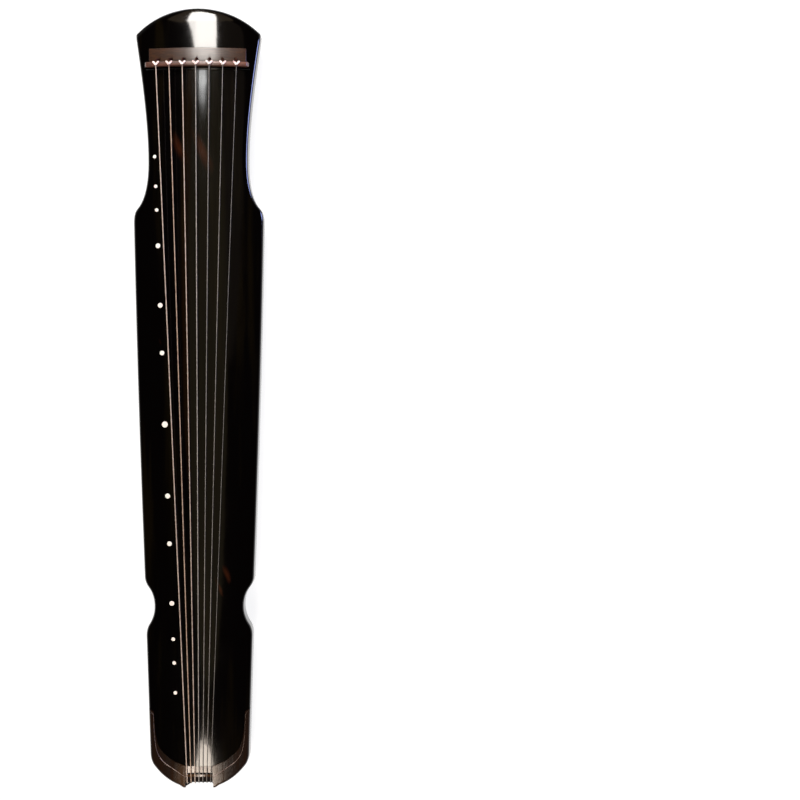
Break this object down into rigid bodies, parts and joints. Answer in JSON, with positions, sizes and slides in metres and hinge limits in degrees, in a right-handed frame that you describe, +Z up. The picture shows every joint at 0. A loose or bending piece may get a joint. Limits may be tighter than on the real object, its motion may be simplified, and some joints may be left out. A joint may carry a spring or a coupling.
{
  "type": "guqin",
  "caption": "Long lacquered zither with an arched top, a high bridge, silk-tied strings, studs for the harmonics, turning pegs and two goose feet.",
  "frame": {"origin": "on the table, under the middle of the instrument's box without its cord tails", "axes": "+X towards the head, +Y towards the side with the studs, +Z up through the strings"},
  "size_m": [1.22, 0.2038, 0.1002],
  "materials": {
    "lacquer": "thick glossy black lacquer with faint reddish-brown flecks over wood",
    "hardwood": "dark brown polished hardwood",
    "rosewood": "satin rosewood",
    "pale_wood": "bare straight-grained pale wood",
    "ebony": "polished ebony",
    "silk": "twisted orange-red silk cord",
    "shell": "polished mother-of-pearl",
    "string": "smooth pale wound string"
  },
  "bodies": {
    "instrument": {"soundboard": "lacquer", "back_board": "lacquer", "heaven_post": "pale_wood", "earth_post": "pale_wood", "bridge": "rosewood", "bridge_strip": "rosewood", "stud_1": "shell", "stud_2": "shell", "stud_3": "shell", "stud_4": "shell", "stud_5": "shell", "stud_6": "shell", "stud_7": "shell", "stud_8": "shell", "stud_9": "shell", "stud_10": "shell", "stud_11": "shell", "stud_12": "shell", "stud_13": "shell", "peg_plate": "pale_wood", "silk_loop_1": "silk", "silk_loop_2": "silk", "silk_loop_3": "silk", "silk_loop_4": "silk", "silk_loop_5": "silk", "silk_loop_6": "silk", "silk_loop_7": "silk", "cord_tail_1": "silk", "cord_tail_2": "silk", "cord_tail_3": "silk", "cord_tail_4": "silk", "cord_tail_5": "silk", "cord_tail_6": "silk", "cord_tail_7": "silk", "peg_guard_far": "lacquer", "peg_guard_near": "lacquer", "goose_foot_far": "ebony", "goose_foot_near": "ebony", "tail_corner_far": "hardwood", "tail_corner_near": "hardwood", "tail_nut": "hardwood", "under_tail_saddle": "hardwood", "tail_plate_far": "hardwood", "tail_plate_near": "hardwood", "string_1": "string", "string_2": "string", "string_3": "string", "string_4": "string", "string_5": "string", "string_6": "string", "string_7": "string"},
    "peg_1": {"peg_1": "ebony"},
    "peg_2": {"peg_2": "ebony"},
    "peg_3": {"peg_3": "ebony"},
    "peg_4": {"peg_4": "ebony"},
    "peg_5": {"peg_5": "ebony"},
    "peg_6": {"peg_6": "ebony"},
    "peg_7": {"peg_7": "ebony"}
  },
  "joints": [
    {"name": "peg_1_turn", "type": "hinge", "parent": "instrument", "child": "peg_1", "pos_m": [0.5285, 0.06, 0.0247], "axis": [0, 0, 1], "continuous": true},
    {"name": "peg_2_turn", "type": "hinge", "parent": "instrument", "child": "peg_2", "pos_m": [0.5285, 0.04, 0.0247], "axis": [0, 0, 1], "continuous": true},
    {"name": "peg_3_turn", "type": "hinge", "parent": "instrument", "child": "peg_3", "pos_m": [0.5285, 0.02, 0.0247], "axis": [0, 0, 1], "continuous": true},
    {"name": "peg_4_turn", "type": "hinge", "parent": "instrument", "child": "peg_4", "pos_m": [0.5285, 0, 0.0247], "axis": [0, 0, 1], "continuous": true},
    {"name": "peg_5_turn", "type": "hinge", "parent": "instrument", "child": "peg_5", "pos_m": [0.5285, -0.02, 0.0247], "axis": [0, 0, 1], "continuous": true},
    {"name": "peg_6_turn", "type": "hinge", "parent": "instrument", "child": "peg_6", "pos_m": [0.5285, -0.04, 0.0247], "axis": [0, 0, 1], "continuous": true},
    {"name": "peg_7_turn", "type": "hinge", "parent": "instrument", "child": "peg_7", "pos_m": [0.5285, -0.06, 0.0247], "axis": [0, 0, 1], "continuous": true}
  ]
}
